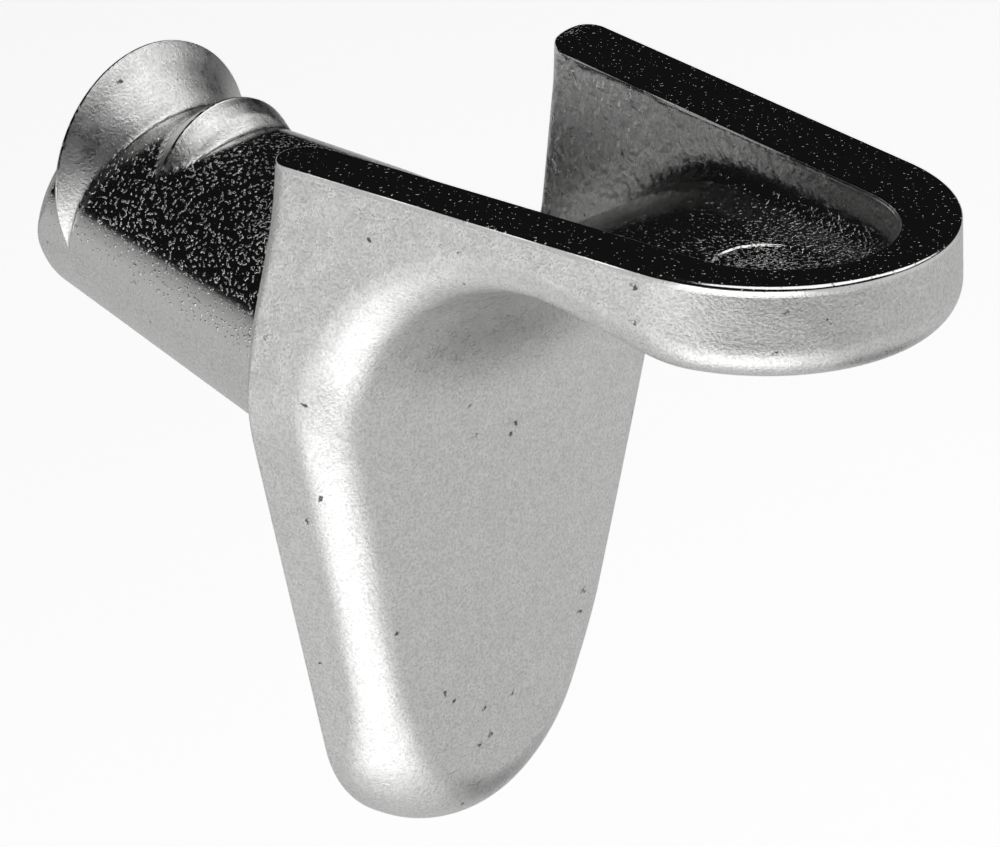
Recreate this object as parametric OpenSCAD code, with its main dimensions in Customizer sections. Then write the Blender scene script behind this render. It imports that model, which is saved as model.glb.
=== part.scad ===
// Shelf support pin, one zinc die casting: a round-nosed U-shaped platform, a leg that bears on
// the cabinet side and a barbed pin for a 5 mm hole. The row frame sits on the pin's axis at the
// wall: X points from the wall to the platform's nose, Y runs along the wall and Z is up.

/* [Platform] */
// width across the two arms where they meet the wall
top_w = 8.0; // [7:0.1:14]
// distance from the wall to the nose of the platform
reach = 10.3; // [9:0.05:18]
// thickness of the platform at its nose
plate_t = 1.62; // [1.3:0.01:3]
// angle by which each side closes in towards the nose
side_converge = 7.1; // [2:0.1:10]
// casting draft of the outer sides, wider with depth
side_draft = 2.3; // [0.5:0.1:4]
// radius of the rounded lower and front edges
edge_r = 0.65; // [0.3:0.05:0.8]

/* [Pocket] */
// average thickness of the two arms at their tops
arm_t = 1.12; // [0.9:0.02:1.6]
// distance the near arm's end is set back from the wall at its top
arm_back = 0.3; // [0.1:0.05:0.5]
// distance the far arm's end stands past the wall plane at its top
arm_out = 0.3; // [0.1:0.05:0.35]
// distance the pocket sits off the middle, towards -Y
pocket_shift = 0.19; // [0:0.01:0.25]
// thickness of the wall round the nose
nose_t = 0.7; // [0.5:0.05:1.4]
// depth of the pocket floor near the nose
floor_depth = 0.8; // [0.5:0.05:1]
// depth of the pocket where it opens at the wall
back_depth = 3.2; // [2:0.1:3.6]
// casting draft of the pocket walls, narrower with depth
pocket_draft = 4.5; // [1:0.1:6]
// diameter of the ejector-pin mark in the floor
mark_d = 1.7; // [1:0.1:2.4]
// depth of the ejector-pin mark
mark_depth = 0.12; // [0.05:0.01:0.3]

/* [Leg] */
// height from the platform's top to the bottom of the leg
leg_depth = 13.15; // [12:0.05:18]
// thickness of the leg under the fillet
leg_t = 2.1; // [1.6:0.05:3]
// thickness the leg loses from top to bottom
leg_thinning = 0.65; // [0:0.05:0.8]
// taper of each side of the leg
leg_taper = 13.6; // [8:0.1:15]
// radius of the hollow between the platform and the leg
fillet_r = 3.3; // [2.8:0.1:4]
// radius of the crown across the leg's front and the hollow
crown_r = 15; // [10:1:40]
// radius of the leg's front edges, carried on round the hollow
leg_edge_r = 1.1; // [0.6:0.05:1.3]

/* [Pin] */
// diameter of the pin's root, which fits the shelf hole
pin_d = 5.0; // [4.5:0.1:5.5]
// length of the pin from the wall to its end
pin_len = 7.9; // [7.5:0.05:11]
// length of the round parallel root
root_len = 1.8; // [1:0.1:2.4]
// depth of the pin's axis below the platform's top
pin_drop = 4.5; // [4.2:0.1:5]
// diameter of the pin's core at its end
tip_d = 3.7; // [3.4:0.1:4.4]
// diameter of the end left by its chamfer
point_d = 3.55; // [3:0.05:4]
// height by which the pin's core climbs to its end
core_rise = 0.5; // [0:0.05:0.7]

/* [Barbs] */
// radius of the large barb's rim
barb_r = 2.2; // [1.9:0.05:2.3]
// distance of the large barb's rim from the wall
barb_x = 6.85; // [6.6:0.05:7.2]
// radius of the small barb's rim
barb2_r = 1.65; // [1.55:0.05:1.85]
// distance between the two rims
barb_pitch = 1.85; // [1.5:0.05:2]
// height of the barbs' axis above the pin's axis
barb_lift = 1.2; // [1:0.05:1.4]

/* [Hidden] */
$fn = 96;
m = 0.4;
far = 30;
half_w = top_w / 2;
hollow_t = plate_t - 0.12;
bend = hollow_t + fillet_r;
fade = 10;
fillet_x = leg_t + fillet_r;
nose_x = (reach - half_w * cos(side_converge)) / (1 - sin(side_converge));
nose_r = reach - nose_x;
in_w = half_w - arm_t;
in_reach = reach - nose_t;
in_x = (in_reach - in_w * cos(side_converge)) / (1 - sin(side_converge));
in_r = in_reach - in_x;
edge_in = leg_edge_r - 0.08;
bend_w = half_w + bend * tan(side_draft);
leg_r = (bend_w * cos(leg_taper) - (leg_depth - bend) * sin(leg_taper)) / (1 - sin(leg_taper));
leg_z = leg_r - leg_depth;
leg_tilt = atan(leg_thinning / (leg_depth - bend));
floor_r = bend - floor_depth;
pin_r = pin_d / 2;
tip_r = tip_d / 2;
core_len = pin_len - root_len;
core_tilt = atan(core_rise / core_len);
tip_round = 0.12;
rim_t = 0.06;
foot_r = barb2_r - 0.55;
barb_run = 1;
barb_end = 0.65;
point_slope = 0.8;
barb2_run = 0.65;
face_sag = 0.1;
heel_r = 1.15;
ledge = 0.05;

// plan slabs along both sides, closing in to the nose centre x0; the child is a radius-height profile
module along_sides(x0) {
    for (s = [0, 1])
        mirror([0, s, 0])
            translate([x0, 0, 0])
                rotate([0, 0, -side_converge])
                    translate([-far, 0, 0])
                        rotate([90, 0, 90])
                            linear_extrude(far)
                                children();
}

// wedge that fills the middle between the two side slabs, from height z0 to z1
module middle(x0, z0, z1) {
    w = (x0 + m) * tan(side_converge) + m;
    translate([0, 0, z0])
        linear_extrude(z1 - z0)
            polygon([[x0 + m, 0], [-m, w], [-m, -w]]);
}

// radius-height profile with a drafted side and a rounded lower corner
module plate_profile() {
    cx = nose_r + ((plate_t - edge_r) * sin(side_draft) - edge_r) / cos(side_draft);
    cz = edge_r - plate_t;
    polygon([[0, 0], [nose_r, 0], [cx + edge_r * cos(side_draft), cz + edge_r * sin(side_draft)],
        [cx, cz], [cx, -plate_t], [0, -plate_t]]);
    translate([cx, cz])
        circle(edge_r);
}

// radius-height profile of the drafted sides down to the bend
module side_profile() {
    polygon([[0, 0], [nose_r, 0], [nose_r + bend * tan(side_draft), -bend], [0, -bend]]);
}

// radius-height profile of the pocket, narrower with depth
module pocket_profile() {
    polygon([[0, m], [in_r + m * tan(pocket_draft), m],
        [in_r - back_depth * tan(pocket_draft), -back_depth], [0, -back_depth]]);
}

// keeps what is on the room side of the wall plane
module before_wall(z0, z1, x1) {
    translate([0, -far / 2, z0])
        cube([x1, far, z1 - z0]);
}

// round-nosed platform
module platform() {
    translate([nose_x, 0, 0])
        rotate_extrude()
            plate_profile();
    intersection() {
        union() {
            along_sides(nose_x) plate_profile();
            middle(nose_x, -plate_t, 0);
        }
        before_wall(-far, far, far);
    }
}

// sweeps a radius-width profile round the hollow's axis from angle a0, then on under the platform,
// where it slowly leaves the metal
module round_hollow(a0) {
    rotate([0, 0, a0])
        rotate_extrude(angle = 270 + fade - a0)
            children();
    rotate([0, 0, 270 + fade])
        rotate([90, 0, 0])
            translate([0, 0, -reach])
                linear_extrude(reach)
                    children();
}

// rounding cutter for the edge of the hollow on one side
module hollow_edge() {
    mid_w = half_w - (fillet_x + leg_t) / 2 * tan(side_converge) - leg_edge_r / 2;
    hx = (fillet_x - nose_x) * cos(side_converge) - mid_w * sin(side_converge);
    translate([nose_x, 0, 0])
        rotate([0, 0, -side_converge])
            translate([hx, nose_r, 0])
                rotate([side_draft, 0, 0])
                    translate([0, 0, -bend])
                        rotate([-90, 0, 0])
                            round_hollow(176)
                                difference() {
                                    translate([fillet_r - m, -edge_in])
                                        square([edge_in + m, edge_in + m]);
                                    translate([fillet_r + edge_in, -edge_in])
                                        circle(leg_edge_r);
                                }
}

// radius-width profile of the crowned space
module crown_profile() {
    difference() {
        translate([0, -top_w])
            square([fillet_r + top_w / 4, 2 * top_w]);
        translate([fillet_r + crown_r, 0])
            circle(crown_r);
    }
}

// crowned space in front of the leg and under the platform
module hollow_void() {
    translate([fillet_x, 0, -bend])
        rotate([-90, 0, 0]) {
            round_hollow(180 + leg_tilt) crown_profile();
            rotate([0, 0, 180 + leg_tilt])
                rotate([90, 0, 0])
                    linear_extrude(leg_depth)
                        crown_profile();
        }
}

// block that carries the arms, above the leg
module block() {
    intersection() {
        union() {
            along_sides(nose_x) side_profile();
            middle(nose_x, -bend, 0);
        }
        union() {
            before_wall(-far, far, fillet_x);
            heel();
        }
    }
}

// radius-thickness profile of the leg, its front corner rounded
module leg_profile() {
    t = leg_t + 2 * ledge;
    cy = t - leg_edge_r;
    cx = leg_r - (cy * sin(side_converge) + leg_edge_r) / cos(side_converge);
    polygon([[0, -far / 10], [leg_r + far / 10 * tan(side_converge), -far / 10],
        [cx + leg_edge_r * cos(side_converge), cy + leg_edge_r * sin(side_converge)], [cx, cy], [cx, t], [0, t]]);
    translate([cx, cy])
        intersection() {
            circle(leg_edge_r);
            square(leg_edge_r);
        }
}

// tapered leg with a round bottom
module leg() {
    intersection() {
        translate([0, 0, -bend])
            rotate([0, leg_tilt, 0])
                translate([0, 0, bend])
                    translate([0, 0, leg_z]) {
                        rotate([0, 90, 0])
                            rotate_extrude()
                                leg_profile();
                        for (s = [0, 1])
                            mirror([0, s, 0])
                                rotate([-leg_taper, 0, 0])
                                    translate([0, 0, far / 2])
                                        rotate([180, 0, 90])
                                            linear_extrude(far / 2)
                                                leg_profile();
                        rotate([90, 0, 90])
                            translate([0, 0, -m])
                                linear_extrude(leg_t + m + 2 * ledge)
                                    polygon([[0, 0], [far / 2 * tan(leg_taper), far / 2],
                                        [-far / 2 * tan(leg_taper), far / 2]]);
                    }
        before_wall(-far, -bend, far);
    }
}

// open-backed pocket: shallow at the nose and deep at the wall
module pocket() {
    translate([0, -pocket_shift, 0])
        intersection() {
            union() {
                translate([in_x, 0, 0])
                    rotate_extrude()
                        pocket_profile();
                along_sides(in_x) pocket_profile();
                middle(in_x, -back_depth, m);
            }
            rotate([90, 0, 0])
                linear_extrude(far, center = true)
                    difference() {
                        translate([-m, -back_depth])
                            square([reach + m, back_depth + m]);
                        translate([fillet_x, -bend])
                            circle(floor_r);
                        translate([fillet_x, -bend])
                            square([reach, floor_r]);
                    }
        }
}

// space beyond one rounded corner of an arm's end and the flat next to it
module end_profile(r) {
    difference() {
        translate([-2 * m, -m])
            square([r + 2 * m, r + m]);
        translate([r, r])
            circle(r);
    }
    translate([-2 * m, r])
        square([2 * m, m]);
}

// space beyond the rounded end of the near arm, set back at the top and fading out with depth
module arm_end() {
    t = arm_t - pocket_shift;
    r = t / 2;
    lean = atan((arm_back + r / 3) / bend);
    translate([arm_back, -half_w, 0])
        rotate([-side_draft - atan(r / 3 / bend), lean, 0])
            translate([0, 0, -bend])
                linear_extrude(bend + m)
                    end_profile(r);
    translate([arm_back, t - half_w, 0])
        rotate([pocket_draft, lean, 0])
            translate([0, 0, -back_depth])
                linear_extrude(back_depth + m)
                    mirror([0, 1, 0])
                        end_profile(r);
}

// post that lets the far arm's end run past the wall plane at the top, gone at the bend
module heel() {
    lean = atan((arm_out + 2 * ledge) / bend);
    translate([heel_r - arm_out, half_w - heel_r / 3, 0])
        rotate([0, -lean, 0])
            translate([0, 0, -far / 2])
                cylinder(h = far, r = heel_r);
}

// ejector-pin mark in the pocket floor
module ejector_mark() {
    translate([in_x, -pocket_shift, -floor_depth - mark_depth])
        cylinder(h = mark_depth + m, d = mark_d);
}

// points of a barb's hollow face, sagging between its foot a and its rim b, each [radius, length]
function hollow(a, b) = [for (t = [0.25, 0.5, 0.75])
    a + (b - a) * t + 4 * t * (1 - t) * face_sag * [a.y - b.y, b.x - a.x] / norm(b - a)];

// radius-length profile of the two barbs
module barb_profile() {
    rim = [barb_r, barb_x];
    rim2 = [barb2_r, barb_x - barb_pitch];
    foot = [foot_r, rim.y - barb_run];
    foot2 = [foot_r, rim2.y - barb2_run];
    polygon(concat([[0, foot2.y], foot2], hollow(foot2, rim2), [rim2, rim2 + [0, rim_t],
        foot], hollow(foot, rim), [rim, rim + [0, rim_t], rim + [-2 * barb_end, barb_end],
        [0, rim.y + barb_end]]));
}

// radius-length profile of the pin's core, its end rounded
module core_profile() {
    r0 = pin_r - ledge;
    lean = atan((r0 - tip_r) / core_len);
    cr = tip_r - tip_round * (1 - sin(lean)) / cos(lean);
    cx = core_len - tip_round;
    polygon([[0, -m], [r0, -m], [r0, 0], [cr + tip_round * cos(lean), cx + tip_round * sin(lean)],
        [cr, cx], [cr, core_len], [0, core_len]]);
    translate([cr, cx])
        circle(tip_round);
}

// barbed pin, its root carried into the body below the pocket's floor
module pin() {
    translate([0, 0, -pin_drop])
        difference() {
            union() {
                translate([-root_len, 0, 0])
                    rotate([0, 90, 0])
                        cylinder(h = root_len + leg_t / 2, r = pin_r);
                intersection() {
                    translate([-root_len, 0, 0])
                        rotate([0, -90 + core_tilt, 0])
                            rotate(180)
                                rotate_extrude()
                                    core_profile();
                    translate([-pin_len - ledge, 0, 0])
                        rotate([0, 90, 0])
                            cylinder(h = pin_len, r1 = point_d / 2, r2 = point_d / 2 + pin_len * point_slope);
                }
                translate([0, 0, barb_lift])
                    rotate([0, -90, 0])
                        rotate(180)
                            rotate_extrude()
                                barb_profile();
            }
            translate([0, -half_w, pin_drop - back_depth - m])
                cube([reach, top_w, back_depth + m]);
        }
}

// whole casting, lifted so that the pin's axis lies at height zero
module shelf_support() {
    color("silver")
        translate([0, 0, pin_drop]) {
            difference() {
                union() {
                    platform();
                    block();
                    leg();
                }
                hollow_void();
                hollow_edge();
                mirror([0, 1, 0]) hollow_edge();
                pocket();
                ejector_mark();
                arm_end();
            }
            pin();
        }
}

shelf_support();
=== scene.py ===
import math
import bpy
import numpy as np
import mathutils
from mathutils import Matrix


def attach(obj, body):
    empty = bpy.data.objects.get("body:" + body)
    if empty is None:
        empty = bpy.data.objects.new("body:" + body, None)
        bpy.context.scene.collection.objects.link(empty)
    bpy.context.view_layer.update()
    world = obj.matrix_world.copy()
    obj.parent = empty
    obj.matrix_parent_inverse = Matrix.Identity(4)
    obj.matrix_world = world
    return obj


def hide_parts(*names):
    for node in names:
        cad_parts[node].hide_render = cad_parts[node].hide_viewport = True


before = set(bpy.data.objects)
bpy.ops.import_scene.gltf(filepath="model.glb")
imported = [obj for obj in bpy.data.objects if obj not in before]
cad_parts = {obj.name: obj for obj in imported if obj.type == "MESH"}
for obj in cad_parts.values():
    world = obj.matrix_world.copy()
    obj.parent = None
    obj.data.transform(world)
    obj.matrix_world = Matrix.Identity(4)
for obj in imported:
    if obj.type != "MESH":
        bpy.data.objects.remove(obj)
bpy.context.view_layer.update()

# Shelf support pin: one plated zinc casting. Shapes are worked out in millimetres with the height
# counted down from the platform's top face, then lifted onto the pin's axis and scaled to metres.
pinDrop = 4.5
mm = 0.001


def degTan(angle):
    return math.tan(math.radians(angle))


def between(a, b, t):  # a at t = 0, b at t = 1
    return a + (b - a) * t


def easeStep(t):  # 0 to 1 with level ends
    t = np.clip(t, 0, 1)
    return t * t * (3 - 2 * t)


def fadeIn(value, start, span):  # 0 up to the start, easing to 1 over the span
    return easeStep((value - start) / span)


# The next three join distances that are negative inside the metal.
def roundMeet(a, b, r):  # inside both; the outer edge between them is a quarter circle of radius r
    return np.minimum(np.maximum(a, b), -r) + np.hypot(np.maximum(a + r, 0), np.maximum(b + r, 0))


def hollowJoin(a, b, r):  # inside either; the inner corner between them is a quarter circle of radius r
    return np.maximum(np.minimum(a, b), r) - np.hypot(np.maximum(r - a, 0), np.maximum(r - b, 0))


def softMax(a, b, k):  # the larger of the two, with a parabola where they differ by less than k
    h = np.maximum(k - np.abs(a - b), 0) / k
    return np.maximum(a, b) + h * h * k / 4


# the body: a U-shaped platform that runs down into the leg
body = {
    "halfWidth": 4.0,       # middle to an arm's outer face, at the wall's top
    "reach": 10.3,          # wall to nose tip
    "converge": 7.1,        # each side closes in by this angle
    "draft": 2.3,           # outer draft above the bend
    "plate": 1.5,           # platform thickness over the hollow, on its middle line
    "solePad": 0.12,        # how much thicker the platform is under the nose
    "soleStart": 0.3,       # where the underside starts to run out, beyond the hollow's centre
    "soleSlope": 10.0,      # angle at which it does, and the softness of that bend's start and end
    "soleBend": 0.5,
    "soleEnd": 0.1,
    "crown": 15.0,          # radius of the crown across underside and leg front
    "hollowX": 5.4,         # centre and radius of the hollow between platform and leg
    "hollowZ": -4.8,
    "hollowR": 3.3,
    "legLean": 0.0778,      # the leg front closes in towards the bottom
    "taper": 13.6,          # each side of the leg closes in by this angle
    "footZ": -10.53,        # centre and radius of the foot's round at the wall
    "footR": 2.63,
    "footDraft": 0.12,      # how fast that radius shrinks away from the wall
    "bendSoft": 0.18,       # softness of the bend from the platform's sides to the leg's
    "edge": 0.62,           # soft lower and front edges
    "footEdge": 0.55,       # how much softer they are round the foot
    "footEdgeDepth": 9.3,   # depth at which they start to soften, and the height that it takes
    "footEdgeSpan": 3.2,
    "rim": 0.07,            # crisp edges of the top face
}
pocket = {
    "centreX": 7.65,        # centre and radius of its round end, at the top
    "radius": 1.92,
    "shift": 0.17,          # it sits this far towards -Y
    "draft": 4.6,
    "floor": 0.8,           # its depth near the nose
    "arcR": 4.0,            # radius of the floor's arc round the hollow
    "backDepth": 3.2,       # its depth at the wall
    "backSoft": 0.35,       # softness of the bend between arc and deep part
    "floorFillet": 0.42,
    "brim": 0.02,           # softness of its top edge
    "markX": 7.55,          # shallow round ejector mark in the floor
    "markY": -0.2,
    "markR": 0.85,
    "markDepth": 0.03,
    "markSoft": 0.05,
}
armEnds = {
    "nearBack": 0.3,        # the near arm's end is set back from the wall by this at its top
    "nearDepth": 3.6,       # depth at which it has come out to the wall, and the height that takes
    "nearSpan": 3.0,
    "farOut": 0.33,         # the far arm's end runs past the wall by this at its top
    "farY": 3.65,           # where across the arm it does so most, and how fast that falls off
    "farCurve": 0.44,
    "fadeDepth": 4.3,       # depth at which the swelling and the rounding are gone
    "swellFade": 1.5,       # power at which the swelling fades, faster than the rounding
    "nearRound": 0.42,      # how round the two ends are at their tops
    "farRound": 0.3,
    "leastRound": 0.05,
}
sideCos, sideSin = math.cos(math.radians(body["converge"])), math.sin(math.radians(body["converge"]))
taperCos, taperSin = math.cos(math.radians(body["taper"])), math.sin(math.radians(body["taper"]))
noseX = (body["reach"] - body["halfWidth"] * sideCos) / (1 - sideSin)
noseR = body["reach"] - noseX
legFront = body["hollowX"] - body["hollowR"]


def outerRadius(z):  # the nose's outside: wider with depth by the draft
    return noseR - z * degTan(body["draft"])


def pocketRadius(z):  # the pocket's round end: narrower with depth by its draft
    return pocket["radius"] + z * degTan(pocket["draft"])


def footRadius(x):  # the foot's round: smaller away from the wall
    return body["footR"] - body["footDraft"] * x


def taperedRound(x, y, centre, radius):  # distance to a round nose whose sides run back tangent and spread
    along = (x - centre) * sideCos - np.abs(y) * sideSin
    flank = (x - centre) * sideSin + np.abs(y) * sideCos
    return np.where(along > 0, np.hypot(x - centre, y), flank) - radius


def pocketWall(x, y, z):
    return taperedRound(x, y + pocket["shift"], pocket["centreX"], pocketRadius(z))


def floorField(x, z):  # below the pocket floor: level near the nose, an arc down, level again to the wall
    arc = np.where(x > body["hollowX"], z + pocket["floor"],
                   np.hypot(x - body["hollowX"], z - body["hollowZ"]) - pocket["arcR"])
    return -softMax(-arc, -(z + pocket["backDepth"]), pocket["backSoft"])


def soleLift(x, y):  # underside above the hollow's top height: crowned across, running out to a flat sole
    run = softMax(x - body["hollowX"] - body["soleStart"], 0 * x, body["soleBend"])
    crowned = y * y / (2 * body["crown"]) - degTan(body["soleSlope"]) * run
    return softMax(crowned, -body["solePad"] + 0 * y, body["soleEnd"])


def endFade(z):  # 1 at the top, falling evenly to 0 at the depth where the arms' ends are plain
    return np.clip(1 + z / armEnds["fadeDepth"], 0, 1)


def armEndX(y, z):  # where the arms end: near one eased back to its top, far one a parabola past the wall
    near = armEnds["nearBack"] * fadeIn(z, -armEnds["nearDepth"], armEnds["nearSpan"])
    swell = np.minimum(-armEnds["farOut"] + armEnds["farCurve"] * (y - armEnds["farY"]) ** 2, 0)
    return np.where(y < 0, near, swell * endFade(z) ** armEnds["swellFade"])


def bodyField(p):
    # Distance-like field, zero on the body's surface. Sides are the platform's tapered round cut by the
    # leg's tapered round. They meet the hollow's underside and front with soft edges. The pocket, the
    # arms' ends and the flat top are then cut away.
    x, y, z = p[..., 0], p[..., 1], p[..., 2]
    plan = taperedRound(x, y, noseX, outerRadius(z))
    across, rise = np.abs(y), z - body["footZ"]
    below = across * taperSin + rise * taperCos < 0
    foot = np.where(below, np.hypot(across, rise), across * taperCos - rise * taperSin) - footRadius(x)
    sides = softMax(plan, foot, body["bendSoft"])
    under = -(z + body["plate"]) + soleLift(x, y)
    front = x - legFront + body["legLean"] * (body["hollowZ"] - z) + y * y / (2 * body["crown"])
    softer = fadeIn(-z, body["footEdgeDepth"], body["footEdgeSpan"])
    edge = body["edge"] + body["footEdge"] * softer
    solid = roundMeet(sides, hollowJoin(under, front, body["hollowR"]), edge)
    mark = np.hypot(x - pocket["markX"], y - pocket["markY"]) - pocket["markR"]
    sunk = softMax(mark, -(z + pocket["floor"] + pocket["markDepth"]), pocket["markSoft"])
    ground = softMax(floorField(x, z), -sunk, pocket["markSoft"])
    cut = roundMeet(pocketWall(x, y, z), -ground, pocket["floorFillet"])
    solid = softMax(solid, -cut, pocket["brim"])
    endRound = np.where(y < 0, armEnds["nearRound"], armEnds["farRound"]) * endFade(z)
    solid = roundMeet(solid, armEndX(y, z) - x, endRound + armEnds["leastRound"])
    return roundMeet(solid, z, body["rim"])


def settle(points, field, rounds=9, most=0.25):
    # Slides each point along the field's slope by value over slope, at most so far a step, until it
    # lies on zero.
    probe = 1e-4
    leastSlope = 0.05
    for _ in range(rounds):
        value = field(points)
        rises = [field(points + d) - field(points - d) for d in np.eye(3) * probe]
        slope = np.stack(rises, -1) / (2 * probe)
        size = np.maximum((slope ** 2).sum(-1), leastSlope)
        move = -(value / size)[..., None] * slope
        length = np.maximum(np.linalg.norm(move, axis=-1, keepdims=True), 1e-12)
        points = points + move * np.minimum(1, most / length)
    return points


def bunched(n, first, last):  # 0 to 1 in n steps, closer together at an end the larger that end's number is
    grip = 9  # how quickly the bunching dies away from the ends
    u = np.linspace(0, 1, n + 1)
    w = 1 / (1 + first * np.exp(-u * grip) + last * np.exp(-(1 - u) * grip))
    t = np.concatenate([[0], np.cumsum((w[1:] + w[:-1]) / 2)])
    return t / t[-1]


def stacked(x, y, z):
    return np.stack(np.broadcast_arrays(x, y, z), -1)


def columns(*rows):  # each as a column, so that it meets a row of shares in a grid
    return (v[:, None] for v in rows)


def joined(parts):  # parts of a rib, each of which starts where the last one ended
    return np.concatenate([parts[0]] + [q[:, 1:] for q in parts[1:]], 1)


# how many ribs follow each part of the body, and how many steps each part of half a rib has
ribs = {"nose": 66, "sides": 30, "hollowTop": 46, "hollowBack": 50, "leg": 40, "foot": 36}
steps = {"under": 32, "outside": 42, "rim": 20, "wall": 22, "floor": 30}


def bodyGrid():
    # Ribs run round the section: out along the underside, up the outside, over the rim, down the
    # pocket wall and in along the floor, first on the near side and then back on the far side.
    # The ribs follow the body from the nose tip, through the hollow and down to the foot. Edges are
    # sharp here, and settle() rounds them.
    underT = bunched(steps["under"], 0, 3)
    outsideT = bunched(steps["outside"], 3, 14)
    rimT = bunched(steps["rim"], 7, 7)
    wallT = bunched(steps["wall"], 14, 3)
    floorT = bunched(steps["floor"], 2, 0)
    shift = pocket["shift"]

    def outerHalf(x, z):
        plan = (outerRadius(z) + (noseX - x) * sideSin) / sideCos
        leg = (footRadius(x) + (z - body["footZ"]) * taperSin) / taperCos
        return np.minimum(plan, leg)

    def innerHalf(x, z):
        return (pocketRadius(z) + (pocket["centreX"] - x) * sideSin) / sideCos

    def nose(side):  # turns round the nose, from its tip to where the straight sides start
        turn = np.radians(np.linspace(90, body["converge"], ribs["nose"]))[:, None]
        sn, cs = np.sin(turn), np.cos(turn)
        low = -body["plate"] * np.ones_like(turn)
        lowHalf = outerRadius(low) * cs
        lowX = noseX + outerRadius(low) * sn
        under = stacked(lowX, side * underT * lowHalf, low + soleLift(lowX, underT * lowHalf))
        z = between(low + soleLift(lowX, lowHalf), 0, outsideT)
        outside = stacked(noseX + outerRadius(z) * sn, side * outerRadius(z) * cs, z)
        outX, outY = noseX + noseR * sn, side * noseR * cs
        inX, inY = pocket["centreX"] + pocket["radius"] * sn, side * pocket["radius"] * cs - shift
        rim = stacked(between(outX, inX, rimT), between(outY, inY, rimT), 0)
        z = -pocket["floor"] * wallT * np.ones_like(turn)
        wall = stacked(pocket["centreX"] + pocketRadius(z) * sn, side * pocketRadius(z) * cs - shift, z)
        ground = stacked(wall[:, -1:, 0], between(wall[:, -1:, 1], -shift, floorT), -pocket["floor"])
        return joined([under, outside, rim, wall, ground])

    # The middle has straight sides, then the hollow, then the leg. Each rib spans a line from the
    # underside or front (low) to the top face or the wall (high), and the pocket's mouth lies there.
    corner = math.radians(138)  # the hollow's arc faces the top face up to here, and then the wall
    share = np.linspace(0, 1, ribs["sides"] + 1)[1:]
    outerX = between(noseX + noseR * sideSin, body["hollowX"], share)
    innerX = between(pocket["centreX"] + pocket["radius"] * sideSin, body["hollowX"], share)
    topTurn = between(math.pi / 2, corner, np.linspace(0, 1, ribs["hollowTop"] + 1)[1:])
    backTurn = between(corner, math.pi, np.linspace(0, 1, ribs["hollowBack"] + 1)[1:])
    arc = np.concatenate([topTurn, backTurn])
    along = body["hollowX"] * (1 - bunched(ribs["hollowTop"], 0, 14)[1:])
    down = body["hollowZ"] * bunched(ribs["hollowBack"], 9, 0)[1:]
    legEnd = body["footZ"] + body["footR"] * -taperSin
    legZ = between(body["hollowZ"], legEnd, np.linspace(0, 1, ribs["leg"] + 1)[1:-1])
    legX = legFront - body["legLean"] * (body["hollowZ"] - legZ)
    lowX = np.concatenate([outerX, body["hollowX"] + body["hollowR"] * np.cos(arc), legX])
    lowZ = np.concatenate([-body["plate"] * np.ones_like(outerX),
                           body["hollowZ"] + body["hollowR"] * np.sin(arc), legZ])
    highX = np.concatenate([outerX, along, 0 * backTurn, 0 * legZ])
    highZ = np.concatenate([0 * outerX, 0 * along, down, legZ])
    mouthX = np.concatenate([innerX, along, 0 * backTurn, 0 * legZ])
    depthX = np.concatenate([innerX, lowX[ribs["sides"]:]])
    lowX, lowZ, highX, highZ = columns(lowX, lowZ, highX, highZ)
    mouthX, depthX = columns(mouthX, depthX)
    upper, lower = np.zeros_like(lowX), np.ones_like(lowX)
    for _ in range(40):  # halves its way to where the line from the mouth down meets the pocket floor
        mid = (upper + lower) / 2
        above = floorField(between(mouthX, depthX, mid), between(highZ, lowZ, mid)) > 0
        upper, lower = np.where(above, mid, upper), np.where(above, lower, mid)
    floorX, floorZ = between(mouthX, depthX, upper), between(highZ, lowZ, upper)
    # where the pocket is shallower than this or gone, its wall's points spread over a band of the
    # flat back, so that they stay apart
    shallow, band = 0.4, 0.35
    spread = band * (1 - np.clip(np.hypot(floorX - mouthX, floorZ - highZ) / shallow, 0, 1))
    most = 0.78  # the pocket's widest share of the body
    length = np.hypot(highX - lowX, highZ - lowZ)
    upX, upZ = (highX - lowX) / length, (highZ - lowZ) / length

    def middle(side):
        half = outerHalf(lowX, lowZ)
        lift = soleLift(lowX, underT * half)
        under = stacked(lowX + upX * lift, side * underT * half, lowZ + upZ * lift)
        lift = soleLift(lowX, half)
        x, z = between(lowX + upX * lift, highX, outsideT), between(lowZ + upZ * lift, highZ, outsideT)
        outside = stacked(x, side * outerHalf(x, z), z)
        highHalf = outerHalf(highX, highZ)
        mouthHalf = np.minimum(innerHalf(mouthX, highZ), most * highHalf)
        mouthY = side * (mouthHalf + spread) - shift
        rim = stacked(between(highX, mouthX, rimT), between(side * highHalf, mouthY, rimT), highZ)
        x, z = between(mouthX, floorX, wallT), between(highZ, floorZ, wallT)
        wallHalf = np.minimum(innerHalf(x, z), most * highHalf)
        wall = stacked(x, side * (wallHalf + spread * (1 - 2 * wallT)) - shift, z)
        ground = stacked(floorX, between(wall[:, -1:, 1], -shift, floorT), floorZ)
        return joined([under, outside, rim, wall, ground])

    def foot(side):  # turns round the foot, from the side's end to the lowest point
        turn = np.radians(np.linspace(body["taper"], 90, ribs["foot"]))[:, None]
        sn, cs = np.sin(turn), np.cos(turn)

        def place(x, part):
            r = footRadius(x)
            return stacked(x, side * part * r * cs, body["footZ"] - r * sn)

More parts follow.
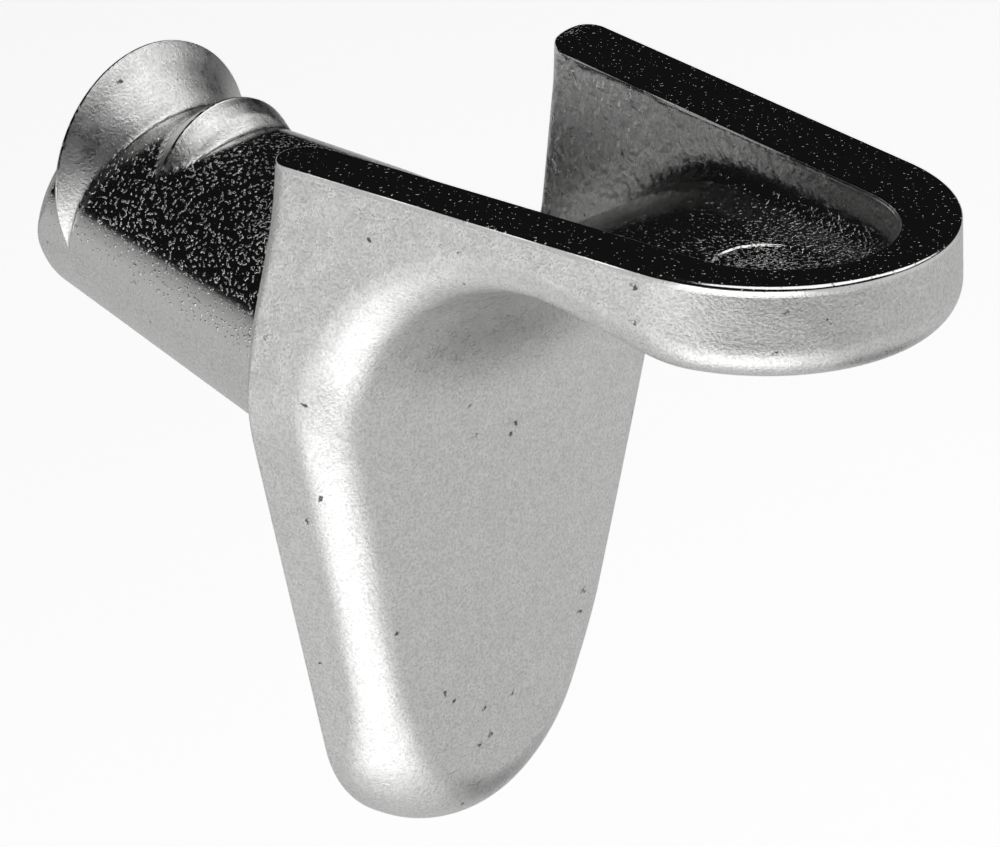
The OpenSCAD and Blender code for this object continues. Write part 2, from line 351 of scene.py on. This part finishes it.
        front = 1.65 - 0.18 * sn  # close to the true front, which settle() finds
        half = (body["footR"] - 0.2) * cs
        rimPart, wallPart = 0.9, 0.65  # where rim and pocket wall end on the flat back
        under = place(front - (underT * half) ** 2 / (2 * body["crown"]), underT)
        outside = place(between(front - half ** 2 / (2 * body["crown"]), 0, outsideT), 1)
        flat = np.zeros_like(turn)
        rim = place(flat, between(1, rimPart, rimT))
        wall = place(flat, between(rimPart, wallPart, wallT))
        ground = place(flat, between(wallPart, 0, floorT))
        return joined([under, outside, rim, wall, ground])

    nearSide, farSide = (np.concatenate([nose(side), middle(side), foot(side)]) for side in (-1, 1))
    grid = np.concatenate([nearSide, farSide[:, -2:0:-1]], 1)
    x, y, z = grid[..., 0], grid[..., 1], grid[..., 2]
    stretch = 3  # the arms' ends move this far of their length with them
    grid[..., 0] = x + armEndX(y, z) * np.clip(1 - x / stretch, 0, 1)
    return grid


# the pin: a tapering core and two barbs on its upper side
pin = {
    "rootR": 2.49,
    "rootLength": 1.8,      # straight part of the core
    "endX": -7.9,
    "endR": 1.87,
    "rise": 0.52,           # the core's axis climbs by this much to its end
    "endRound": 0.12,
    "pointR": 1.785,        # the end's chamfer: its radius at the end, its slope and its axis
    "pointSlope": 0.8,
    "pointZ": -4.56,
    "pointSoft": 0.05,
    "barbZ": -3.3,          # axis of the barbs
    "smallLift": 0.08,      # the small barb stands this much higher, from where the two part
    "smallFrom": -6.1,
    "smallSpan": 0.7,
    "barbSoft": 0.06,       # softness of the joint between barbs and core
    "rootFillet": 0.25,     # where the lower part of the root meets the wall face
    "filletTop": -3.3,
    "seamZ": -4.5,          # height, thickness and width of the beaded flash along both sides
    "flash": 0.022,
    "flashWidth": 0.035,
    "buried": 0.3,          # how far the root reaches into the body
    "sides": 104,           # points round each ring
}
# the barbs' skin: distance from the wall and radius, from the small barb's foot to the end
barbLine = np.array([
    (4.2, 0.9), (4.33, 1.10), (4.45, 1.21), (4.62, 1.42), (4.8, 1.53), (4.96, 1.605), (5.02, 1.60),
    (5.1, 1.56), (5.45, 1.30), (5.7, 1.13), (5.82, 1.09), (5.95, 1.19), (6.15, 1.44), (6.4, 1.70),
    (6.62, 1.92), (6.76, 2.09), (6.84, 2.185), (6.9, 2.18), (6.98, 2.02), (7.2, 1.5), (7.5, 0.8)])
# runs of rings, closer together at the barbs' edges: first place, last place, how many
ringRuns = [(pin["endX"] + pin["endRound"], -7.0, 16), (-6.97, -6.80, 12), (-6.77, -5.66, 40),
            (-5.63, -5.06, 14), (-5.04, -4.9, 10), (-4.87, -4.2, 30), (-4.15, -0.3, 26), (-0.25, 0, 8)]


def barbRadius(x):  # distance of the barbs' skin from their axis, straight between the points of barbLine
    return np.interp(-x, barbLine[:, 0], barbLine[:, 1])


def pinGrid():
    # Rings across the pin. Each ring is the outer skin of two circles, the core's and the barbs', seen
    # from the core's centre and softly joined; both ends close to a point. Seen from there, a circle
    # of radius R whose centre is d higher lies at d cos + sqrt(R^2 - (d sin)^2).
    around = np.linspace(0, 2 * np.pi, pin["sides"] + 1)[:-1]
    flatRings, capRings, rootRings = 11, 8, 8
    run = np.concatenate([np.linspace(*limits) for limits in ringRuns])
    roll = np.radians(np.linspace(90, 0, capRings + 1))[1:]
    capX = pin["endX"] + pin["endRound"] * (1 - np.sin(roll))
    x = np.concatenate([np.full(flatRings, pin["endX"]), capX, run,
                        np.linspace(0.0, pin["buried"], rootRings)])
    shrink = np.concatenate([np.full(flatRings, pin["endRound"]), pin["endRound"] * (1 - np.cos(roll)),
                             0 * run, np.zeros(rootRings)])
    scale = np.concatenate([np.linspace(0, 1, flatRings + 1)[:-1], np.ones(len(capX) + len(run)),
                            np.linspace(1, 0, rootRings)])
    t = np.clip((-x - pin["rootLength"]) / (-pin["endX"] - pin["rootLength"]), 0, 1)
    coreR = between(pin["rootR"], pin["endR"], t) - shrink
    coreZ = -pinDrop + pin["rise"] * t
    barbR = np.maximum(barbRadius(np.minimum(x, 0)) - shrink, 0.2)
    pointR = pin["pointR"] + pin["pointSlope"] * (x - pin["endX"]) - shrink
    barbZ = pin["barbZ"] + pin["smallLift"] * fadeIn(x, pin["smallFrom"], pin["smallSpan"])
    x, scale, coreR, coreZ = columns(x, scale, coreR, coreZ)
    barbR, barbZ, pointR = columns(barbR, barbZ, pointR)

    co, si = np.cos(around)[None], np.sin(around)[None]
    inside = barbR ** 2 - ((barbZ - coreZ) * si) ** 2
    barb = np.where(inside > 0, (barbZ - coreZ) * co + np.sqrt(np.maximum(inside, 0)), 0)
    drop = pin["pointZ"] - coreZ
    chamfer = drop * co + np.sqrt(np.maximum(pointR ** 2 - (drop * si) ** 2, 0.01))
    core = -softMax(-(coreR + 0 * co), -chamfer, pin["pointSoft"])
    r = softMax(core, barb, pin["barbSoft"])
    z = coreZ + r * co
    bead = 0.6 + 0.4 * np.sin(x * 9.0) * np.sin(x * 23.0 + 1)  # two waves make it uneven
    atSides = np.abs(si) > 0.7
    r = r + pin["flash"] * bead * np.exp(-((z - pin["seamZ"]) / pin["flashWidth"]) ** 2) * atSides
    root = np.clip(1 + x / pin["rootFillet"], 0, 1) * (z < pin["filletTop"])
    r = r + pin["rootFillet"] * (1 - np.sqrt(1 - root ** 2)) * (x <= 0)
    r = r * scale
    return stacked(x, r * si, coreZ + r * co)


def gridMesh(grid):  # corners of the grid's quads, closed across its second direction, as triangles
    rows, cols = grid.shape[:2]
    i, j = np.meshgrid(np.arange(rows - 1), np.arange(cols), indexing="ij")
    k = (j + 1) % cols
    a, b, c, d = i * cols + j, (i + 1) * cols + j, (i + 1) * cols + k, i * cols + k
    tris = np.concatenate([np.stack([a, b, c], -1).reshape(-1, 3), np.stack([a, c, d], -1).reshape(-1, 3)])
    return grid.reshape(-1, 3), tris


def welded(points, tris):  # merges corners that lie together and drops triangles left without an area
    _, first, back = np.unique(np.round(points, 5), axis=0, return_index=True, return_inverse=True)
    tris = back.reshape(-1)[tris]
    keep = (tris[:, 0] != tris[:, 1]) & (tris[:, 1] != tris[:, 2]) & (tris[:, 2] != tris[:, 0])
    return points[first], tris[keep]


def facingOut(points, tris):  # turns the triangles round if the closed shell's volume comes out negative
    a, b, c = (points[tris[:, n]] for n in range(3))
    volume = (np.cross(a, b) * c).sum() / 6
    return tris if volume > 0 else tris[:, ::-1]


def cornerNormals(points, tris):  # mean of the normals of the triangles that meet at each corner
    a, b, c = (points[tris[:, n]] for n in range(3))
    face = np.cross(b - a, c - a)
    sums = [np.bincount(tris.ravel(), np.repeat(face[:, k], 3), len(points)) for k in range(3)]
    total = np.stack(sums, -1)
    return total / np.maximum(np.linalg.norm(total, axis=1, keepdims=True), 1e-12)


# where the tumbled bright faces end, and how thickly (0 to 1) the small bright bumps lie on them
shine = {
    "rimDepth": 0.16,       # the top's shine fades this far down its edges
    "rimEase": 0.1,
    "floorFacing": 0.35,    # upward part of the normal at which the pocket floor's starts
    "skinFacing": -0.25,    # the same for the pin's skin, which goes a little below its sides
    "facingEase": 0.4,
    "skinEnd": 0.45,        # it stops on faces that look along the pin by this much
    "skinEndEase": 0.2,
    "peelFacing": 0.5,      # the dimples start on faces that look sideways by this much
    "peelEase": 0.3,
}
flecks = {
    "top": 0.24,
    "ground": 0.25,
    "noseExtra": 0.75,      # more on the pocket floor towards the nose, from here on
    "noseFrom": 5.4,
    "noseSpan": 2.2,
    "skin": 0.5,
    "flareExtra": 0.5,      # more in a patch on the pin's near flank: its middle, half sizes and fading
    "flareX": -2.15,
    "flareY": -1.45,
    "flareLong": 0.62,
    "flareWide": 0.75,
    "flareLongEase": 0.5,
    "flareWideEase": 0.6,
}


def finishShares(points, normals):
    # Each is 0 to 1, eased from height and facing. polish: tumbled bright faces, which are the
    # platform's top, the pocket floor and the pin's upper skin. fleck: how thickly the small bright
    # bumps lie. peel: dimpled skin on the pocket's walls.
    x, y, z = points.T
    nx, ny, nz = normals.T
    top = fadeIn(z, -shine["rimDepth"], shine["rimEase"]) * (x > -0.45)
    inPocket = (x > 0.05) & (z < -0.12) & (pocketWall(x, y, z) < 0.04) & (floorField(x, z) > -0.2)
    ground = fadeIn(nz, shine["floorFacing"], shine["facingEase"]) * inPocket
    skin = fadeIn(nz, shine["skinFacing"], shine["facingEase"]) * (x < -0.02)
    skin = skin * fadeIn(-np.abs(nx), -shine["skinEnd"], shine["skinEndEase"])
    sideways = np.abs(ny) + np.abs(nx)
    nearNose = fadeIn(x, flecks["noseFrom"], flecks["noseSpan"])
    flare = fadeIn(-np.abs(x - flecks["flareX"]), -flecks["flareLong"], flecks["flareLongEase"]) * (nz > 0)
    flare = flare * fadeIn(-np.abs(y - flecks["flareY"]), -flecks["flareWide"], flecks["flareWideEase"])
    fleck = (flecks["top"] * top + ground * (flecks["ground"] + flecks["noseExtra"] * nearNose)
             + skin * (flecks["skin"] + flecks["flareExtra"] * flare))
    return {
        "polish": np.clip(np.maximum(np.maximum(top * (z > -0.3), ground), skin), 0, 1),
        "fleck": np.clip(fleck, 0, 1),
        "peel": np.clip(fadeIn(sideways, shine["peelFacing"], shine["peelEase"]) * inPocket, 0, 1),
    }


def makePiece(name, shells, material):
    points, tris, count = [], [], 0
    for p, t in shells:
        p, t = welded(p, t)
        points.append(p)
        tris.append(facingOut(p, t) + count)
        count += len(p)
    points, tris = np.concatenate(points), np.concatenate(tris)
    mesh = bpy.data.meshes.new(name)
    mesh.vertices.add(len(points))
    mesh.vertices.foreach_set("co", ((points + [0, 0, pinDrop]) * mm).ravel())
    mesh.loops.add(tris.size)
    mesh.loops.foreach_set("vertex_index", tris.ravel().astype(np.int32))
    mesh.polygons.add(len(tris))
    mesh.polygons.foreach_set("loop_start", np.arange(0, tris.size, 3, dtype=np.int32))
    mesh.polygons.foreach_set("use_smooth", np.ones(len(tris), bool))
    mesh.update(calc_edges=True)
    mesh.validate()
    for label, share in finishShares(points, cornerNormals(points, tris)).items():
        mesh.attributes.new(label, "FLOAT", "POINT").data.foreach_set("value", share.astype(np.float32))
    mesh.materials.append(material)
    piece = bpy.data.objects.new(name, mesh)
    bpy.context.scene.collection.objects.link(piece)
    print(name, "has", len(points), "corners and", len(tris), "triangles")
    return piece


# the plated finish: scales are repeats per metre, heights and widths are metres
plating = {
    "bright": (0.84, 0.84, 0.83, 1),
    "dull": (0.64, 0.64, 0.635, 1),
    "pit": (0.16, 0.16, 0.16, 1),
    "castRoughness": 0.30,
    "roughnessSpread": 0.05,
    "roughnessScale": 5000.0,
    "polishRoughness": 0.12,
    "polishedGrain": 0.12,  # what is left of grain, waves and pits on polished faces
    "grain": 21000.0,
    "grainHeight": 0.000011,
    "wave": 1300.0,
    "waveHeight": 0.000022,
    "fleckScale": 14000.0,
    "fleckHeight": 0.000026,
    "fleckSpread": 0.22,    # how much lower a bump may be and still stand out where flecks lie thickly
    "peelScale": 5200.0,
    "peelHeight": 0.00006,
    "pitScale": 2400.0,
    "pitHeight": 0.00002,
    "pitFrom": 0.85,        # the share of the cells that have none
    "pitRagged": 14000.0,
    "ringHeight": 0.00004,  # crisp step round the ejector mark
    "ringWidth": 0.00003,
}


def platedZinc():
    material = bpy.data.materials.new("platedZinc")
    material.use_nodes = True
    nodes, links = material.node_tree.nodes, material.node_tree.links
    shader = nodes["Principled BSDF"]
    shader.inputs["Metallic"].default_value = 1
    where = nodes.new("ShaderNodeTexCoord")

    def feed(socket, value):  # a fixed value or another node's output
        if isinstance(value, (tuple, float)):
            socket.default_value = value
        else:
            links.new(value, socket)

    def noise(scale, detail, rough=0.5):
        node = nodes.new("ShaderNodeTexNoise")
        node.inputs["Scale"].default_value = scale
        node.inputs["Detail"].default_value = detail
        node.inputs["Roughness"].default_value = rough
        links.new(where.outputs["Object"], node.inputs["Vector"])
        return node.outputs["Fac"]

    def share(label):
        node = nodes.new("ShaderNodeAttribute")
        node.attribute_name = label
        return node.outputs["Fac"]

    def ranged(source, low, high, toLow=0.0, toHigh=1.0):
        node = nodes.new("ShaderNodeMapRange")
        node.interpolation_type = "SMOOTHSTEP"
        for label, value in (("From Min", low), ("From Max", high), ("To Min", toLow), ("To Max", toHigh)):
            node.inputs[label].default_value = value
        links.new(source, node.inputs["Value"])
        return node.outputs["Result"]

    def combined(kind, a, b):
        node = nodes.new("ShaderNodeMath")
        node.operation = kind
        feed(node.inputs[0], a)
        feed(node.inputs[1], b)
        return node.outputs["Value"]

    def times(a, b):
        return combined("MULTIPLY", a, b)

    def blended(amount, a, b, kind="RGBA"):
        node = nodes.new("ShaderNodeMix")
        node.data_type = kind
        socketType = "RGBA" if kind == "RGBA" else "VALUE"
        links.new(amount, node.inputs["Factor"])
        sockets = [q for q in node.inputs if q.type == socketType and q.name in "AB"]
        for socket, value in zip(sockets, (a, b)):
            feed(socket, value)
        return [q for q in node.outputs if q.type == socketType][0]

    polish, fleck, peel = share("polish"), share("fleck"), share("peel")
    rest = ranged(polish, 0.0, 1.0, 1.0, plating["polishedGrain"])

    # pits: ragged dots round the centres of a few of the cells
    cells = nodes.new("ShaderNodeTexVoronoi")
    cells.inputs["Scale"].default_value = plating["pitScale"]
    links.new(where.outputs["Object"], cells.inputs["Vector"])
    pick = nodes.new("ShaderNodeSeparateColor")
    links.new(cells.outputs["Color"], pick.inputs["Color"])
    ragged = times(cells.outputs["Distance"], ranged(noise(plating["pitRagged"], 2), 0.3, 0.7, 0.5, 1.9))
    chosen = ranged(pick.outputs["Red"], plating["pitFrom"] - 0.01, plating["pitFrom"] + 0.01)
    pits = times(times(ranged(ragged, 0.05, 0.13, 1.0, 0.0), chosen), rest)

    # ejector mark: a step at its radius from its centre, seen from above
    flat = nodes.new("ShaderNodeVectorMath")
    flat.operation = "MULTIPLY"
    flat.inputs[1].default_value = (1, 1, 0)
    links.new(where.outputs["Object"], flat.inputs[0])
    away = nodes.new("ShaderNodeVectorMath")
    away.operation = "DISTANCE"
    away.inputs[1].default_value = (pocket["markX"] * mm, pocket["markY"] * mm, 0)
    links.new(flat.outputs["Vector"], away.inputs[0])
    ringR = pocket["markR"] * mm
    step = ranged(away.outputs["Value"], ringR - plating["ringWidth"], ringR + plating["ringWidth"])

    grain = ranged(noise(plating["grain"], 3, 0.6), 0.38, 0.68)
    colour = blended(times(grain, rest), plating["bright"], plating["dull"])
    links.new(blended(pits, colour, plating["pit"]), shader.inputs["Base Color"])
    rough = ranged(noise(plating["roughnessScale"], 2), 0.3, 0.7,
                   plating["castRoughness"] - plating["roughnessSpread"],
                   plating["castRoughness"] + plating["roughnessSpread"])
    links.new(blended(polish, rough, plating["polishRoughness"], "FLOAT"), shader.inputs["Roughness"])

    bumps = combined("ADD", noise(plating["fleckScale"], 1), times(fleck, plating["fleckSpread"]))
    normal = None
    for height, distance in (
            (times(noise(plating["wave"], 1), rest), plating["waveHeight"]),
            (times(noise(plating["peelScale"], 2), peel), plating["peelHeight"]),
            (times(noise(plating["grain"], 4, 0.65), rest), plating["grainHeight"]),
            (times(ranged(bumps, 0.70, 0.80), fleck), plating["fleckHeight"]),
            (times(step, polish), plating["ringHeight"]),
            (times(pits, -1.0), plating["pitHeight"])):
        bump = nodes.new("ShaderNodeBump")
        bump.inputs["Distance"].default_value = distance
        links.new(height, bump.inputs["Height"])
        if normal:
            links.new(normal, bump.inputs["Normal"])
        normal = bump.outputs["Normal"]
    links.new(normal, shader.inputs["Normal"])
    return material


zinc = platedZinc()
print("finish made")
bodyShell = gridMesh(settle(bodyGrid(), bodyField))
pinShell = gridMesh(pinGrid())
casting = makePiece("casting", [bodyShell, pinShell], zinc)
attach(casting, "root")
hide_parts("shelf_support")
print("casting made")

# floor, painted-shade card, light and world
studio = {
    "floorHalf": 2,
    "floorZ": -0.14,
    "floorColour": (0.93, 0.93, 0.93, 1),
    "floorLift": 0.66,      # how much brighter the camera sees the floor than the lamps make it
    "mirrorShare": 0.35,    # the part of that which the metal's reflections show
    "matt": 0.9,            # roughness of floor and shade card
    "worldStrength": 0.006,
}
lamps = {  # all face the pin's root; the two small ones are out of the camera's sight
    "overheadBox": {"place": (0.25, 0.10, 0.80), "size": (1.1, 1.1), "power": 4.6},
    "backRightBox": {"place": (0.45, 0.60, 0.40), "size": (0.5, 0.4), "power": 0.65},
    "lowBox": {"place": (0.035, -0.056, -0.094), "size": (0.12, 0.075), "power": 0.036, "seen": False},
    "leftBox": {"place": (-0.050, -0.275, -0.108), "size": (0.22, 0.10), "power": 0.085, "seen": False},
}
shadeCard = {  # painted shade: a dark card below the platform that only the metal's reflections see; its dark reflection stands in for the shade in the hollow
    "colour": (0.04, 0.04, 0.04, 1),
    "turn": 72,
    "near": 0.050,
    "far": 0.098,
    "half": 0.032,
    "z": -0.10,
}


def sheet(name, corners, material):  # one flat four-cornered face that isn't part of the object
    mesh = bpy.data.meshes.new(name)
    mesh.from_pydata(corners, [], [(0, 1, 2, 3)])
    mesh.materials.append(material)
    thing = bpy.data.objects.new(name, mesh)
    bpy.context.scene.collection.objects.link(thing)
    return thing


def mattPaint(name, colour):
    paint = bpy.data.materials.new(name)
    paint.use_nodes = True
    shader = paint.node_tree.nodes["Principled BSDF"]
    shader.inputs["Base Color"].default_value = colour
    shader.inputs["Roughness"].default_value = studio["matt"]
    return paint


def palePaint():
    # a matt white that the camera and the metal's reflections see a little brighter than the lamps make it
    paint = mattPaint("floorPaint", studio["floorColour"])
    nodes, links = paint.node_tree.nodes, paint.node_tree.links
    nodes["Principled BSDF"].inputs["Specular IOR Level"].default_value = 0.0
    path = nodes.new("ShaderNodeLightPath")
    mirrored = nodes.new("ShaderNodeMath")
    mirrored.operation = "MULTIPLY"
    links.new(path.outputs["Is Glossy Ray"], mirrored.inputs[0])
    mirrored.inputs[1].default_value = studio["mirrorShare"]
    either = nodes.new("ShaderNodeMath")
    either.operation = "MAXIMUM"
    links.new(path.outputs["Is Camera Ray"], either.inputs[0])
    links.new(mirrored.outputs["Value"], either.inputs[1])
    lift = nodes.new("ShaderNodeMath")
    lift.operation = "MULTIPLY"
    links.new(either.outputs["Value"], lift.inputs[0])
    lift.inputs[1].default_value = studio["floorLift"]
    glow = nodes.new("ShaderNodeEmission")
    links.new(lift.outputs["Value"], glow.inputs["Strength"])
    both = nodes.new("ShaderNodeAddShader")
    links.new(nodes["Principled BSDF"].outputs["BSDF"], both.inputs[0])
    links.new(glow.outputs["Emission"], both.inputs[1])
    links.new(both.outputs["Shader"], nodes["Material Output"].inputs["Surface"])
    return paint


def softBox(name, place, size, power, seen=True):
    lamp = bpy.data.lights.new(name, "AREA")
    lamp.shape = "RECTANGLE"
    lamp.size, lamp.size_y = size
    lamp.energy = power
    holder = bpy.data.objects.new(name, lamp)
    bpy.context.scene.collection.objects.link(holder)
    holder.location = place
    holder.rotation_euler = (-mathutils.Vector(place)).to_track_quat("-Z", "Y").to_euler()
    holder.visible_camera = seen


floorCorners = [(x * studio["floorHalf"], y * studio["floorHalf"], studio["floorZ"])
                for x, y in ((-1, -1), (1, -1), (1, 1), (-1, 1))]
floor = sheet("floor", floorCorners, palePaint())

shadeCardTurn = math.radians(shadeCard["turn"])
ahead = mathutils.Vector((math.cos(shadeCardTurn), math.sin(shadeCardTurn), 0))
aside = mathutils.Vector((-ahead.y, ahead.x, 0))
shadeCardCorners = [ahead * shadeCard[end] + aside * side * shadeCard["half"] + mathutils.Vector((0, 0, shadeCard["z"]))
               for end, side in (("near", 1), ("near", -1), ("far", -1), ("far", 1))]
# painted shade: the card is hidden from the camera, from diffuse light and from shadows, and shows only as
# a dark reflection in the hollow
shadeCardSheet = sheet("shadeCard", shadeCardCorners, mattPaint("shadeCardPaint", shadeCard["colour"]))
shadeCardSheet.visible_camera = False
shadeCardSheet.visible_diffuse = False
shadeCardSheet.visible_shadow = False

for name, settings in lamps.items():
    softBox(name, **settings)

world = bpy.data.worlds.new("studioWorld")
world.use_nodes = True
sky = world.node_tree.nodes["Background"]
sky.inputs["Color"].default_value = (1, 1, 1, 1)
sky.inputs["Strength"].default_value = studio["worldStrength"]
bpy.context.scene.world = world
print("studio set")

view = {
    "place": (0.05817, -0.05668, 0.03612),
    "turn": 44.95,
    "dip": 24.85,
    "lens": 194.1,
    "sensor": 36,
    "nearest": 0.001,
    "farthest": 10,
}


def aimedCamera():  # its right, up and backward axes are the columns of its matrix, and then its place
    turn, dip = math.radians(view["turn"]), math.radians(view["dip"])
    right = mathutils.Vector((math.cos(turn), math.sin(turn), 0))
    ahead = mathutils.Vector((-math.sin(turn), math.cos(turn), 0))
    look = ahead * math.cos(dip) - mathutils.Vector((0, 0, math.sin(dip)))
    lens = bpy.data.cameras.new("camera")
    lens.lens = view["lens"]
    lens.sensor_width = view["sensor"]
    lens.sensor_fit = "HORIZONTAL"
    lens.clip_start = view["nearest"]
    lens.clip_end = view["farthest"]
    camera = bpy.data.objects.new("camera", lens)
    bpy.context.scene.collection.objects.link(camera)
    axes = [(*axis, 0) for axis in (right, right.cross(look), -look)]
    camera.matrix_world = mathutils.Matrix(axes + [(*view["place"], 1)]).transposed()
    return camera


bpy.context.scene.camera = aimedCamera()
bpy.context.scene.view_settings.view_transform = "Standard"
print("camera set")
